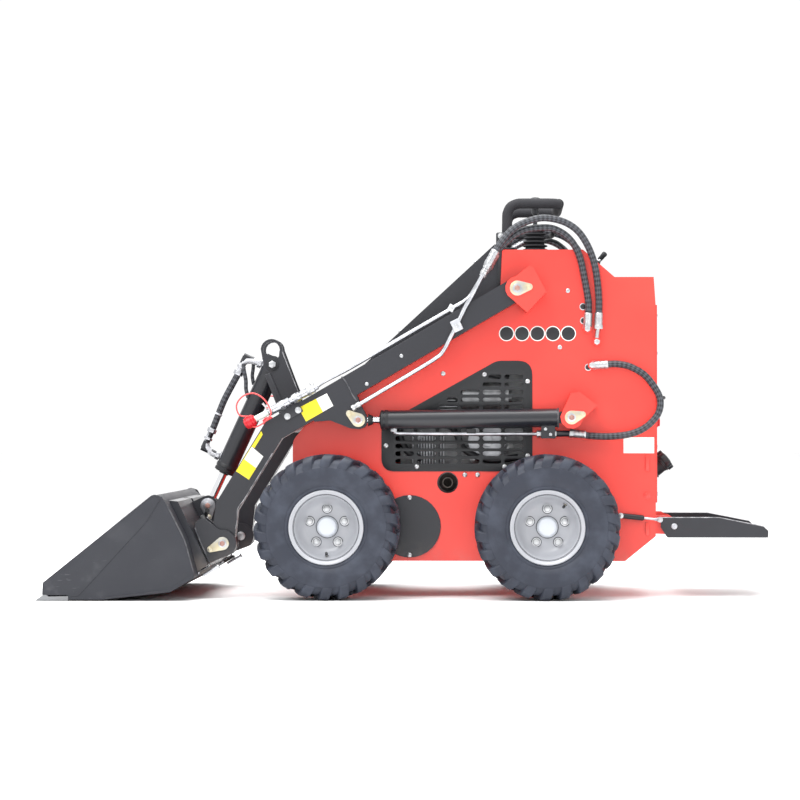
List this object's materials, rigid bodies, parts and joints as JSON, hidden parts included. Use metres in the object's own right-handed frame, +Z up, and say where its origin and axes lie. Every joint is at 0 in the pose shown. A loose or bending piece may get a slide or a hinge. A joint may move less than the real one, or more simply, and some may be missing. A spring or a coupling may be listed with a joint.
{
  "type": "stand-on mini skid steer loader",
  "caption": "Compact wheeled loader with lift arms, a quick-attach bucket, side cooling grilles and a folding standing platform behind the console.",
  "frame": {"origin": "on the ground under the middle of the machine's whole length and width", "axes": "+X forward to the bucket, +Y to the machine's left, +Z up"},
  "size_m": [2.3111, 1.08, 1.3023],
  "materials": {
    "red_paint": "glossy red-orange enamel over sheet steel",
    "dark_paint": "satin dark grey enamel, worn through on the bucket",
    "black_steel": "black painted and blacked steel",
    "tyre": "dusty dark rubber",
    "wheel_silver": "silver wheel paint",
    "chromed_rod": "hard chromed, polished",
    "coupler_zinc": "zinc plated steel",
    "hose_rubber": "black braided hydraulic hose cover",
    "grip_foam": "matte black foam and bellows rubber",
    "exhaust_steel": "heat-stained steel"
  },
  "bodies": {
    "hull": {"side_plate_left": "red_paint", "hand_bar": "grip_foam", "side_plate_right": "red_paint", "control_boot": "grip_foam", "chassis_tub": "red_paint", "front_axle": "black_steel", "rear_axle": "black_steel", "boom_hose_outer_left": "hose_rubber", "boom_hose_outer_right": "hose_rubber", "platform_damper_right": "black_steel", "platform_damper_left": "black_steel", "boom_hose_inner_left": "hose_rubber", "lift_hose_left": "hose_rubber", "boom_hose_inner_right": "hose_rubber", "lift_hose_right": "hose_rubber", "rear_panel": "red_paint", "exhaust_pipe": "exhaust_steel", "throttle_lever": "black_steel", "filler_cap": "black_steel", "control_lever": "black_steel", "drive_cover_left": "black_steel", "drive_cover_right": "black_steel", "console_top": "red_paint", "grille_left": "black_steel", "grille_right": "black_steel", "engine_block": "black_steel"},
    "hood": {"engine_hood": "dark_paint"},
    "wheel_front_left": {"tyre_front_left": "tyre", "rim_front_left": "wheel_silver"},
    "wheel_front_right": {"tyre_front_right": "tyre", "rim_front_right": "wheel_silver"},
    "wheel_rear_left": {"tyre_rear_left": "tyre", "rim_rear_left": "wheel_silver"},
    "wheel_rear_right": {"tyre_rear_right": "tyre", "rim_rear_right": "wheel_silver"},
    "boom": {"boom_arm_left": "dark_paint", "boom_arm_right": "dark_paint", "boom_crosstube": "dark_paint", "aux_coupler_left": "coupler_zinc", "aux_coupler_right": "coupler_zinc"},
    "lift_cylinder_left": {"lift_barrel_left": "black_steel"},
    "lift_piston_left": {"lift_rod_left": "chromed_rod"},
    "lift_cylinder_right": {"lift_barrel_right": "black_steel"},
    "lift_piston_right": {"lift_rod_right": "chromed_rod"},
    "tilt_cylinder": {"tilt_barrel": "black_steel", "tilt_hose": "hose_rubber"},
    "tilt_piston": {"tilt_rod": "chromed_rod"},
    "bucket_carrier": {"attach_plate": "dark_paint", "bucket": "dark_paint"},
    "operator_platform": {"platform": "dark_paint"}
  },
  "joints": [
    {"name": "wheel_front_left_spin", "type": "hinge", "parent": "hull", "child": "wheel_front_left", "pos_m": [0.24645, 0.4125, 0.229], "axis": [0, 1, 0], "continuous": true},
    {"name": "wheel_front_right_spin", "type": "hinge", "parent": "hull", "child": "wheel_front_right", "pos_m": [0.24645, -0.4125, 0.229], "axis": [0, 1, 0], "continuous": true},
    {"name": "wheel_rear_left_spin", "type": "hinge", "parent": "hull", "child": "wheel_rear_left", "pos_m": [-0.44655, 0.4125, 0.229], "axis": [0, 1, 0], "continuous": true},
    {"name": "wheel_rear_right_spin", "type": "hinge", "parent": "hull", "child": "wheel_rear_right", "pos_m": [-0.44655, -0.4125, 0.229], "axis": [0, 1, 0], "continuous": true},
    {"name": "hood_open", "type": "hinge", "parent": "hull", "child": "hood", "pos_m": [0.33045, 0, 0.559], "axis": [0, 1, 0], "range_deg": [0, 40]},
    {"name": "platform_fold", "type": "hinge", "parent": "hull", "child": "operator_platform", "pos_m": [-0.85555, 0, 0.226], "axis": [0, 1, 0], "range_deg": [0, 85]},
    {"name": "boom_lift", "type": "hinge", "parent": "hull", "child": "boom", "pos_m": [-0.35305, 0, 0.984], "axis": [0, -1, 0], "range_deg": [0, 80], "deforming": ["boom_hose_outer_left", "boom_hose_outer_right", "boom_hose_inner_left", "boom_hose_inner_right"]},
    {"name": "lift_swing_left", "type": "hinge", "parent": "hull", "child": "lift_cylinder_left", "pos_m": [-0.52505, 0.33, 0.5737], "axis": [0, -1, 0], "range_deg": [0, 51.88], "deforming": ["lift_hose_left"]},
    {"name": "lift_extend_left", "type": "slide", "parent": "lift_cylinder_left", "child": "lift_piston_left", "axis": [0.9999, 0, -0.0116], "range_m": [0, 0.39455]},
    {"name": "lift_swing_right", "type": "hinge", "parent": "hull", "child": "lift_cylinder_right", "pos_m": [-0.52505, -0.33, 0.5737], "axis": [0, -1, 0], "range_deg": [0, 51.88], "deforming": ["lift_hose_right"]},
    {"name": "lift_extend_right", "type": "slide", "parent": "lift_cylinder_right", "child": "lift_piston_right", "axis": [0.9999, 0, -0.0116], "range_m": [0, 0.39455]},
    {"name": "bucket_tilt", "type": "hinge", "parent": "boom", "child": "bucket_carrier", "pos_m": [0.58345, 0, 0.1736], "axis": [0, 1, 0], "range_deg": [-18, 100]},
    {"name": "tilt_swing", "type": "hinge", "parent": "boom", "child": "tilt_cylinder", "pos_m": [0.44945, 0, 0.75], "axis": [0, 1, 0], "range_deg": [-1.08, 5.98]},
    {"name": "tilt_extend", "type": "slide", "parent": "tilt_cylinder", "child": "tilt_piston", "axis": [0.4193, 0, -0.9078], "range_m": [-0.03638, 0.20165]}
  ],
  "couplings": [
    {"joint": "lift_swing_left", "follows": "boom_lift", "ratio": 0.64831},
    {"joint": "lift_extend_left", "follows": "boom_lift", "m_per_rad": 0.2825},
    {"joint": "lift_swing_right", "follows": "boom_lift", "ratio": 0.64831},
    {"joint": "lift_extend_right", "follows": "boom_lift", "m_per_rad": 0.2825},
    {"joint": "tilt_swing", "follows": "bucket_tilt", "ratio": 0.059732},
    {"joint": "tilt_extend", "follows": "bucket_tilt", "m_per_rad": 0.11548}
  ]
}
